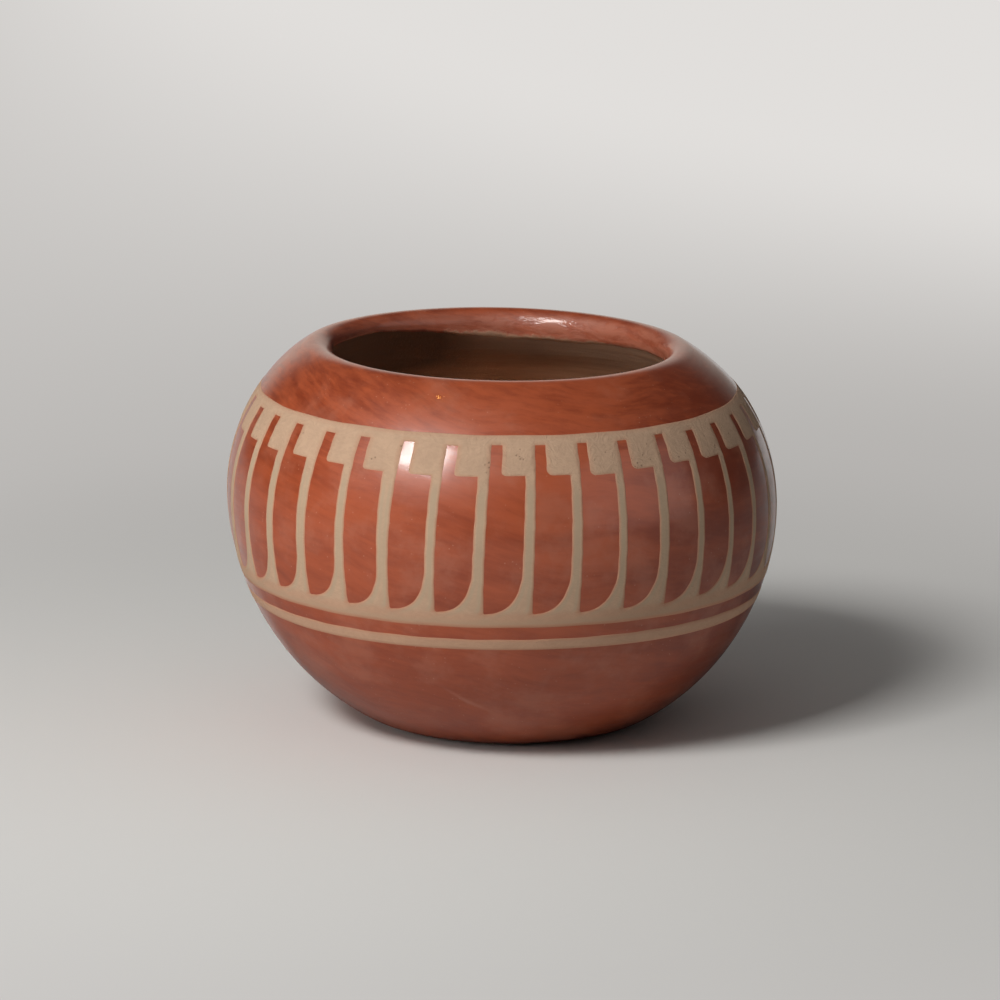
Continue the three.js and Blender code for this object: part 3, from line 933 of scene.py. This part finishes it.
class Feathers:
    """Outlines of the bare feathers in angle and meridian length, rows by feathers, varied as by hand."""

    def __init__(self, paint, meridian, belly_height):
        count = paint.feather_count
        rng = np.random.default_rng(paint.seed)

        def varied(size):
            return size * rng.uniform(-1, 1, count)

        around = ROUND / count * np.arange(count)
        drift = waves(around, (0.4, 3, 1.0))
        self.slant = paint.slant * (1 + varied(0.15))
        front = (np.arange(len(FRONT_DRIFT)) - LEFT_FEATHERS) % count
        drift[front] = FRONT_DRIFT
        self.slant[front] = np.radians(FRONT_SLANT)
        self.start = paint.first_feather + around + np.radians(drift)
        self.blade = paint.blade_width * (1 + varied(0.02))
        # Quills are wider on the left and the blocks' corners rounder on the right
        self.quill = paint.quill_width * (1 - 0.16 * np.sin(around) + varied(0.06))
        self.tip = self.blade * (0.01 + 0.03 * rng.random(count))
        rounder = 0.8 * smooth_step(0.5 + np.sin(around)) + 0.4 * rng.random(count)
        self.rounding = paint.corner * (0.7 + rounder)
        self.meridian = meridian
        top, bottom = belly_height + paint.above_belly, belly_height - paint.below_belly
        self.top, self.bottom = meridian.at_height(top), meridian.at_height(bottom)
        self.quill_top = meridian.at_height(top - paint.upper_border + varied(0.0003))
        self.blade_top = meridian.at_height(top - paint.upper_border - paint.quill_length + varied(0.0004))
        self.blade_bottom = meridian.at_height(bottom + paint.lower_border + varied(0.0003))
        self.tip_top = self.blade_bottom + paint.tip_rise
        self.tip_rise = paint.tip_rise
        self.phase = ROUND * rng.random((2, count))
        self.waver = paint.waver / meridian.at(self.blade_top)[0]

    def leaned(self, across, length, phase):
        """Angle of a place that lies across a feather.

        It leans more and more on its way up, by the height's share to the power 1.2, and wavers by two waves,
        but not at the tip, where the two sides meet in one point.
        """
        up = np.clip((length - self.blade_bottom) / (self.quill_top - self.blade_bottom), 0, 1)
        waver = waves(length, (1, 800, phase), (0.7, 1500, 2.3 * phase))
        waver *= np.clip((length - self.blade_bottom) / WAVER_RISE, 0, 1)
        return self.start + across + self.slant * up**1.2 + self.waver * waver

    def tip_length(self):
        """Rows up the tip, closer at the bottom: even shares to the power 1.6."""
        share = np.linspace(0, 1, TIP_ROWS, endpoint=False)[:, None] ** 1.6
        return self.blade_bottom + self.tip_rise * share, share

    def right_side(self):
        """From the tip along a full quarter round and the blade, back under the block and up the quill.

        The quarter round is a superellipse: 1 less a power of the share still to go, to the power's inverse.
        """
        tip_length, share = self.tip_length()
        full = (1 - (1 - share) ** TIP_FULLNESS) ** (1 / TIP_FULLNESS)
        turn = self.rounding / self.meridian.at(self.blade_top)[0]
        corner = np.linspace(0, math.pi / 2, CORNER_ROWS, endpoint=False)[:, None]
        across = [
            self.tip + (self.blade - self.tip) * full,
            along(self.blade, self.blade, BLADE_ROWS),
            along(self.blade, self.quill + turn, FOOT_ROWS),
            self.quill + turn * (1 - np.sin(corner)),
            along(self.quill, self.quill, QUILL_ROWS, True),
        ]
        length = [
            tip_length,
            along(self.tip_top, self.blade_top, BLADE_ROWS),
            along(self.blade_top, self.blade_top, FOOT_ROWS),
            self.blade_top + self.rounding * (1 - np.cos(corner)),
            along(self.blade_top + self.rounding, self.quill_top, QUILL_ROWS, True),
        ]
        across, length = np.concatenate(across), np.concatenate(length)
        return self.leaned(across, length, self.phase[0]), length

    def left_side(self):
        """From the tip round the blade's low left corner and straight up the blade and the quill.

        Its rows rise past the block's foot, so that the rows between the two sides fan out under the block.
        """
        tip_length, _ = self.tip_length()
        # The corner is a quarter of an ellipse, higher where the tip is wider for its blade
        corner_rise = 0.2 * self.tip_rise * self.tip / (0.3 * self.blade) + 0.0002
        below = np.clip(1 - (tip_length - self.blade_bottom) / corner_rise, 0, 1)
        corner = self.tip * (1 - np.sqrt(1 - below**2))
        quill_rise = self.quill_top - self.blade_top
        foot_top = self.blade_top + FOOT_FAN * quill_rise
        corner_top = self.blade_top + CORNER_FAN * quill_rise
        length = [
            tip_length,
            along(self.tip_top, self.blade_top, BLADE_ROWS),
            along(self.blade_top, foot_top, FOOT_ROWS),
            along(foot_top, corner_top, CORNER_ROWS),
            along(corner_top, self.quill_top, QUILL_ROWS, True),
        ]
        length = np.concatenate(length)
        across = np.zeros_like(length)
        across[:TIP_ROWS] = corner
        return self.leaned(across, length, self.phase[1]), length

    def low_edge(self, angle):
        """Length of the band's bottom edge: level but for two waves round the jar."""
        return self.bottom + waves(angle, (0.0001, 5, 0), (0.00006, 23, 1))

    def high_edge(self, angle):
        """Length of the band's top edge: level but for two waves round the jar."""
        return self.top + waves(angle, (0.0002, 3, 2), (0.00008, 19, 0))


def inset_shares(width, count):
    """Shares from 0 to 1 across a width: two a fixed way in from each side and even steps between them."""
    near, next_in = FIRST_STEP / width, SECOND_STEP / width
    middle = next_in[..., None] + (1 - 2 * next_in[..., None]) * np.linspace(0, 1, count - 3)[1:-1]
    sides = [np.zeros_like(near), near, next_in], [1 - next_in, 1 - near, np.ones_like(near)]
    first, last = (np.stack(side, axis=-1) for side in sides)
    return np.concatenate([first, middle, last], axis=-1)


def ruled(first, last, meridian):
    """Straight rows of a grid from side to side, in angle and length: rows by feathers by columns."""
    width = (last[0] - first[0]) * meridian.at(first[1])[0]
    share = inset_shares(width, STRIP_COLUMNS)
    return [a[..., None] + (b - a)[..., None] * share for a, b in zip(first, last)]


def border(row, edge, shares):
    """Rows of a grid from a shared row straight to a border's edge."""
    angle = np.broadcast_to(row[0], (len(shares), *row[0].shape))
    length = row[1] + np.asarray(shares)[:, None, None] * (edge(row[0]) - row[1])
    return angle, length


def open_faces(rows, columns):
    """Quads of an open grid, facing out where its rows run up the outside."""
    row, column = np.meshgrid(np.arange(rows - 1), np.arange(columns - 1), indexing="ij")
    start = row * columns + column
    return np.stack([start, start + 1, start + columns + 1, start + columns], axis=-1).reshape(-1, 4)


def outline_distance(points, path, radius):
    """Distance from points to the nearest stretch of a path, in angle and length, measured on the wall.

    A point's nearest place on a stretch is the share of it that the point's way from its start has along it,
    held between 0 and 1.
    """
    start, step = path[:-1], path[1:] - path[:-1]
    scale = np.stack([radius, np.ones_like(radius)], axis=-1)[:, None, :]
    away, step = (points[:, None, :] - start) * scale, step * scale
    share = (away * step).sum(-1) / np.maximum((step * step).sum(-1), 1e-18)
    return np.linalg.norm(away - np.clip(share, 0, 1)[..., None] * step, axis=-1).min(axis=1)


def band_grids(feathers, meridian):
    """The painted band as four kinds of grid for each feather, which meet point to point.

    A strip lies between a feather's right side and the next one's left side. Borders run below the strips,
    above them and above the quills.
    """
    right, left = feathers.right_side(), feathers.left_side()
    after = [np.roll(side, -1, axis=1) for side in left]
    after[0][:, -1] += ROUND
    strip = ruled(right, after, meridian)
    bottom = border([grid[0] for grid in strip], feathers.low_edge, LOW_BORDER_STEPS)
    top = border([grid[-1] for grid in strip], feathers.high_edge, BORDER_STEPS)
    share = np.linspace(0, 1, QUILL_COLUMNS)
    quill = [a[-1][:, None] + (b[-1] - a[-1])[:, None] * share for a, b in zip(left, right)]
    over_quill = border(quill, feathers.high_edge, BORDER_STEPS)
    outline = np.stack([np.concatenate([a, b[::-1]]) for a, b in zip(left, right)], axis=-1)
    return [strip, bottom, top, over_quill], outline


def band_mesh(feathers, meridian):
    """Joins the band's grids: points in angle and length, faces, and each point's distance to bare slip."""
    grids, outline = band_grids(feathers, meridian)
    after = np.roll(outline, -1, axis=1)
    after[:, -1, 0] += ROUND
    points, faces, depths, total = [], [], [], 0
    for angle, length in grids:
        rows, count, columns = angle.shape
        for number in range(count):
            patch = np.stack([angle[:, number].ravel(), length[:, number].ravel()], axis=-1)
            radius = meridian.at(patch[:, 1])[0]
            sides = [outline_distance(patch, path[:, number], radius) for path in (outline, after)]
            depths.append(np.minimum(*sides))
            points.append(patch)
            faces.append(total + open_faces(rows, columns))
            total += len(patch)
    points, faces, depth = np.concatenate(points), np.concatenate(faces), np.concatenate(depths)
    # Points of neighbouring grids that lie in one place become one point
    points[:, 0] = np.mod(points[:, 0] + 1e-7, ROUND)
    _, first, place = np.unique(np.round(points, 6), axis=0, return_index=True, return_inverse=True)
    return points[first], place.ravel()[faces], depth[first]


def paint_height(depth, thickness):
    """Height of the paint over the slip: from just under it at an edge smoothly up to its thickness."""
    return (thickness + SUNK) * smooth_step(depth / RAMP) - SUNK


def raised(meridian, shape, angle, length, height):
    """Points of the jar's surface moved out by a height."""
    radius, level, outward, upward = meridian.at(length)
    return hand_made(shape, radius + height * outward, angle, level + height * upward)


def put_paint(name, skin, faces, node, **shares):
    """Makes a painted piece in the buff paint, with the shares of its looks for each vertex."""
    buff = material("matte_buff_paint", paint_material, bpy.context.scene.jar_colours)
    piece = put_piece(name, skin, faces, buff, [node])
    for key, values in shares.items():
        give(piece.data, key, values)
    return piece


class JAR_OT_feather_band(bpy.types.Operator):
    """Builds the buff band that the bare feathers stand out from"""

    bl_idname = "jar.feather_band"
    bl_label = "Feather Band"

    def execute(self, context):
        scene = context.scene
        shape, paint = scene.jar_shape, scene.jar_paint
        meridian = Meridian(Section(shape), scene.jar_slip)
        feathers = Feathers(paint, meridian, shape.belly_height)
        points, faces, depth = band_mesh(feathers, meridian)
        angle, length = points.T
        below_top, above_low = feathers.high_edge(angle) - length, length - feathers.low_edge(angle)
        depth = np.minimum(depth, np.maximum(np.minimum(above_low, below_top), 0))
        skin = raised(meridian, shape, angle, length, paint_height(depth, paint.thickness))
        blades = smooth_step((below_top - BLOCKS_END) / BLOCKS_FADE)
        low = smooth_step(1 - (above_low - LOW_END) / LOW_FADE)
        # The red shows through at the edges, more along the blades than round the blocks
        thin = (1 - smooth_step(depth / THIN_EDGE)) * (0.55 + 0.30 * blades) + THIN_BORDER * low
        # The middle of a rib: deep enough in it, but not as deep as a block or a border is
        rib = blades * smooth_step((depth - 0.0006) / 0.0004) * smooth_step((0.0021 - depth) / 0.0008)
        shares = {"thin": np.minimum(thin, 1), "heavy": 1 - blades, "rib": rib}
        piece = put_paint("feather_band", skin, faces, "buff_feather_band", **shares)
        back = piece.modifiers.new("back", "SOLIDIFY")
        back.thickness = PAINT_BACK
        back.offset = -1
        return {"FINISHED"}


STRIPE_COLUMNS = 360
# Shares of the stripe's height at which its front has rows; its back has every fourth of them
STRIPE_SHARES = (0, 0.035, 0.1, 0.3, 0.5, 0.7, 0.9, 0.965, 1)


class JAR_OT_stripe(bpy.types.Operator):
    """Builds the plain buff stripe below the band"""

    bl_idname = "jar.stripe"
    bl_label = "Stripe"

    def execute(self, context):
        scene = context.scene
        shape, paint = scene.jar_shape, scene.jar_paint
        meridian = Meridian(Section(shape), scene.jar_slip)
        top = shape.belly_height - paint.below_belly - paint.stripe_gap
        angle = all_round(STRIPE_COLUMNS)
        low = meridian.at_height(top - paint.stripe_width) + waves(angle, (0.00014, 4, 1))
        high = meridian.at_height(top) + waves(angle, (0.00014, 3, 0), (0.00007, 31, 2))
        front = low + np.array(STRIPE_SHARES)[:, None] * (high - low)
        back = front[::-BACK_STEP]
        depth = np.minimum(front - low, high - front)
        height = with_back(paint_height(depth, paint.thickness), back, -SUNK - PAINT_BACK)
        skin = raised(meridian, shape, angle, np.concatenate([front, back]), height)
        thin = THIN_BORDER + 0.5 * (1 - smooth_step(with_back(depth, back, 0) / THIN_EDGE))
        none = np.zeros(thin.size)
        faces = grid_faces(len(skin), STRIPE_COLUMNS)
        put_paint("plain_stripe", skin, faces, "buff_stripe", thin=thin.ravel(), heavy=none, rib=none)
        return {"FINISHED"}


# Stage


def toward(azimuth, elevation):
    """Direction from the jar: azimuth 0 is the front, -Y, and 90 degrees is +X."""
    azimuth, elevation = math.radians(azimuth), math.radians(elevation)
    flat = math.cos(elevation)
    return Vector((math.sin(azimuth) * flat, -math.cos(azimuth) * flat, math.sin(elevation)))


# Middle of the jar, which the lamps face
JAR_MIDDLE = Vector((0, 0, 0.06))
DAYLIGHT = (1.0, 0.985, 0.955)
# Each lamp's azimuth and elevation in degrees, distance, size, colour and the kind of ray that misses it
LAMPS = {
    "key": (-39.5, 43, 1.3, (0.43, 0.32), DAYLIGHT, None),
    "shine": (-39.5, 42, 1.35, (0.60, 0.50), DAYLIGHT, "diffuse"),
    "low": (-65, 14, 1.4, (0.5, 0.5), DAYLIGHT, "glossy"),
    "fill": (60.5, 20, 1.2, (1.14, 0.85), (1.0, 0.93, 0.90), "diffuse"),
    "warm": (-96.7, 75, 1.2, (0.020, 0.015), (1.0, 0.50, 0.14), "diffuse"),
}


def soft_lamp(name, power, azimuth, elevation, distance, size, colour, unmet):
    """A rectangle of light that faces the jar's middle."""
    light = bpy.data.lights.new(f"{name}_lamp", "AREA")
    light.shape = "RECTANGLE"
    light.size, light.size_y = size
    light.energy = power
    light.color = colour
    lamp = bpy.data.objects.new(f"{name}_lamp", light)
    way = toward(azimuth, elevation)
    lamp.location = JAR_MIDDLE + distance * way
    lamp.rotation_euler = way.to_track_quat("Z", "Y").to_euler()
    lamp.visible_diffuse = unmet != "diffuse"
    lamp.visible_glossy = unmet != "glossy"
    bpy.context.scene.collection.objects.link(lamp)


def seen_share(shading, gloss=1.0):
    """1 for rays that see the pale ground: the camera's, and mirrored ones as far as gloss says."""
    path = shading.add("ShaderNodeLightPath").outputs
    mirrored = shading.math("MAXIMUM", path["Is Glossy Ray"], path["Is Transmission Ray"])
    return shading.math("MAXIMUM", path["Is Camera Ray"], shading.product(mirrored, gloss))


# Colours of the ground in the picture: near the shadow, and far away where it is brightest
GROUND_NEAR = (0.465, 0.45, 0.435)
GROUND_FAR = (0.755, 0.735, 0.715)
# Half the floor's side, and how dark the floor is that the polish mirrors near the jar
HALF_FLOOR = 6.0
MIRRORED_FLOOR = 0.35


def floor_material(colour):
    """Pale paper, plain near the jar, that brightens slowly into the pale distance all round."""
    shading = Shading("pale_paper")
    spot = shading.add("ShaderNodeTexCoord").outputs["Object"]
    away = shading.add("ShaderNodeVectorMath", {0: spot}, operation="LENGTH").outputs["Value"]
    side, depth, _ = shading.axes(spot)
    behind = shading.math("DIVIDE", depth, shading.math("MAXIMUM", away, 0.01))
    right = shading.math("DIVIDE", side, shading.math("MAXIMUM", away, 0.01))
    # In the polish the floor is dull but for its part behind the jar, and less so on the right
    mirrored = shading.add("ShaderNodeLightPath").outputs["Is Glossy Ray"]
    bright_part = shading.math("SUBTRACT", behind, shading.between(right, 0.3, 0.7, 0.0, 0.22))
    dull = shading.product(mirrored, shading.between(bright_part, 0.2, 0.7, 1.0, 0.0))
    colour = shading.mix(dull, colour, scaled(colour, MIRRORED_FLOOR))
    paper = shading.add("ShaderNodeBsdfDiffuse", {"Color": colour}).outputs[0]
    # In the picture it brightens with the distance, more to the right and behind: painted light of the lamps
    # on the backdrop
    lean = shading.product(side, shading.product_plus(away, 3.4, -1.75))
    lean = shading.sum(lean, shading.between(depth, -0.1, 0.2, 0.25, 0.0))
    bright = shading.between(shading.product_plus(away, 1.15, lean), 0.27, 1.27)
    tone = shading.mix(bright, GROUND_NEAR, GROUND_FAR)
    glow = shading.add("ShaderNodeEmission", {"Color": tone}).outputs[0]
    seen = seen_share(shading, shading.between(behind, 0.70, 0.92))
    fade = shading.product(shading.between(away, 0.12, 0.36), seen)
    both = shading.add("ShaderNodeMixShader", {0: fade, 1: paper, 2: glow})
    shading.add("ShaderNodeOutputMaterial", {"Surface": both.outputs[0]})
    return shading.material


def room(strength):
    """The studio round the jar: dim, lighter overhead, and pale behind the jar where gloss reflects it."""
    world = bpy.data.worlds.new("studio")
    world.use_nodes = True
    shading = Shading("studio", world.node_tree)
    side, depth, height = shading.axes(shading.add("ShaderNodeTexCoord").outputs["Generated"])
    behind = shading.between(depth, 0.78, 0.96)
    behind = shading.product(behind, shading.between(side, 0.0, 0.42, 1.0, 0.3))
    overhead = shading.between(height, 0.1, 0.9, 0.25 * strength, 1.6 * strength)
    mirrored = shading.add("ShaderNodeLightPath").outputs["Is Glossy Ray"]
    overhead = shading.product(overhead, shading.product_plus(mirrored, -0.9, 1.0))
    dim = shading.add("ShaderNodeBackground", {"Color": (1.0, 0.97, 0.94, 1.0), "Strength": overhead})
    pale = shading.add("ShaderNodeBackground", {"Color": (0.76, 0.67, 0.59, 1.0), "Strength": 1.0})
    shares = {0: seen_share(shading, behind), 1: dim.outputs[0], 2: pale.outputs[0]}
    both = shading.add("ShaderNodeMixShader", shares)
    shading.add("ShaderNodeOutputWorld", {"Surface": both.outputs[0]})
    return world


# Place that the camera looks at
LOOKED_AT = Vector((-0.0005, 0, 0.0609))


class JAR_OT_stage(bpy.types.Operator):
    """Sets the floor, the lamps, the room and the camera"""

    bl_idname = "jar.stage"
    bl_label = "Stage"

    def execute(self, context):
        scene = context.scene
        stage = scene.jar_stage
        corners = [(x * HALF_FLOOR, y * HALF_FLOOR, 0) for x, y in ((-1, -1), (1, -1), (1, 1), (-1, 1))]
        mesh = bpy.data.meshes.new("paper_floor")
        mesh.from_pydata(corners, [], [(0, 1, 2, 3)])
        mesh.materials.append(floor_material(stage.floor))
        floor = bpy.data.objects.new("paper_floor", mesh)
        scene.collection.objects.link(floor)
        for name, lamp in LAMPS.items():
            soft_lamp(name, getattr(stage, name), *lamp)
        scene.world = room(stage.room)
        self.set_camera(scene, stage)
        scene.view_settings.view_transform = "Standard"
        return {"FINISHED"}

    def set_camera(self, scene, stage):
        """Puts the camera in front, looking down by the pitch, and turns the picture by the roll."""
        back = toward(0, math.degrees(stage.pitch))
        data = bpy.data.cameras.new("camera")
        data.sensor_width = 36.0
        data.lens = stage.focal_length
        data.clip_end = 50.0
        camera = bpy.data.objects.new("camera", data)
        turn = back.to_track_quat("Z", "Y").to_matrix().to_4x4()
        place = Matrix.Translation(LOOKED_AT + stage.distance * back)
        camera.matrix_world = place @ turn @ Matrix.Rotation(stage.roll, 4, "Z")
        scene.collection.objects.link(camera)
        scene.camera = camera


class JAR_PT_panel(bpy.types.Panel):
    """Lists the jar's pieces and settings in the sidebar."""

    bl_label = "Redware Jar"
    bl_idname = "JAR_PT_panel"
    bl_space_type = "VIEW_3D"
    bl_region_type = "UI"
    bl_category = "Redware Jar"

    def draw(self, context):
        for operator in OPERATORS:
            self.layout.operator(operator.bl_idname)
        for attribute, group in SETTINGS.items():
            box = self.layout.box()
            box.label(text=group.__doc__.split(":")[0].rstrip("."))
            settings = getattr(context.scene, attribute)
            for name in group.__annotations__:
                box.prop(settings, name)


SETTINGS = {
    "jar_shape": JarShape,
    "jar_slip": SlipCoat,
    "jar_paint": BuffPaint,
    "jar_colours": JarColours,
    "jar_stage": JarStage,
}
OPERATORS = (JAR_OT_clay, JAR_OT_slip, JAR_OT_feather_band, JAR_OT_stripe, JAR_OT_stage)


def register():
    for group in SETTINGS.values():
        bpy.utils.register_class(group)
    for attribute, group in SETTINGS.items():
        setattr(bpy.types.Scene, attribute, PointerProperty(type=group))
    for operator in OPERATORS:
        bpy.utils.register_class(operator)
    bpy.utils.register_class(JAR_PT_panel)


def unregister():
    bpy.utils.unregister_class(JAR_PT_panel)
    for operator in reversed(OPERATORS):
        bpy.utils.unregister_class(operator)
    for attribute in SETTINGS:
        delattr(bpy.types.Scene, attribute)
    for group in reversed(SETTINGS.values()):
        bpy.utils.unregister_class(group)


def main():
    register()
    bpy.ops.jar.clay()
    bpy.ops.jar.slip()
    bpy.ops.jar.feather_band()
    bpy.ops.jar.stripe()
    bpy.ops.jar.stage()
    bpy.context.view_layer.update()


if __name__ == "__main__":
    main()
